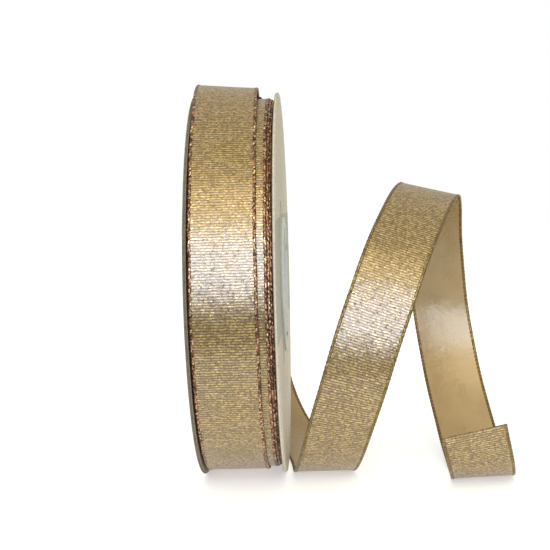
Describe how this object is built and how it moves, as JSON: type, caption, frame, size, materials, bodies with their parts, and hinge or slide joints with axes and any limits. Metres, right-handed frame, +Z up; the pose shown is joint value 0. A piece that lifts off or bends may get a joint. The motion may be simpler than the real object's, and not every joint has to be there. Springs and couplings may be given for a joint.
{
  "type": "ribbon spool",
  "caption": "Narrow spool of glitter ribbon on two round board flanges and a paper core, with its loose end standing beside it in an open coil.",
  "frame": {"origin": "on the table, at the middle of the footprint's bounding box", "axes": "+Z up; +X along the spool's axis, from the spool towards the ribbon's free end; +Y away from the side where the loose turn climbs the roll"},
  "size_m": [0.0804, 0.108, 0.1026],
  "materials": {
    "glitter_ribbon": "satin",
    "selvedge_cord": "satin",
    "greyboard": "matte",
    "facing_paper": "gloss",
    "lining_paper": "matte",
    "label_paper": "satin",
    "kraft_core": "matte",
    "tape_film": "gloss"
  },
  "bodies": {
    "loose_ribbon": {"tail_web": "glitter_ribbon", "tail_left_selvedge": "selvedge_cord", "tail_right_selvedge": "selvedge_cord"},
    "spool": {"left_flange_lining": "lining_paper", "left_flange_board": "greyboard", "left_flange_facing": "facing_paper", "left_label": "label_paper", "right_flange_lining": "lining_paper", "right_flange_board": "greyboard", "right_flange_facing": "facing_paper", "right_label": "label_paper", "core_tube": "kraft_core", "starter_tape": "tape_film", "wound_ribbon": "glitter_ribbon", "third_turn": "glitter_ribbon", "second_turn": "glitter_ribbon"}
  },
  "joints": [
    {"name": "spool_turn", "type": "hinge", "parent": "loose_ribbon", "child": "spool", "pos_m": [-0.02865, -0.004, 0.04995], "axis": [-1, 0, 0], "continuous": true}
  ]
}
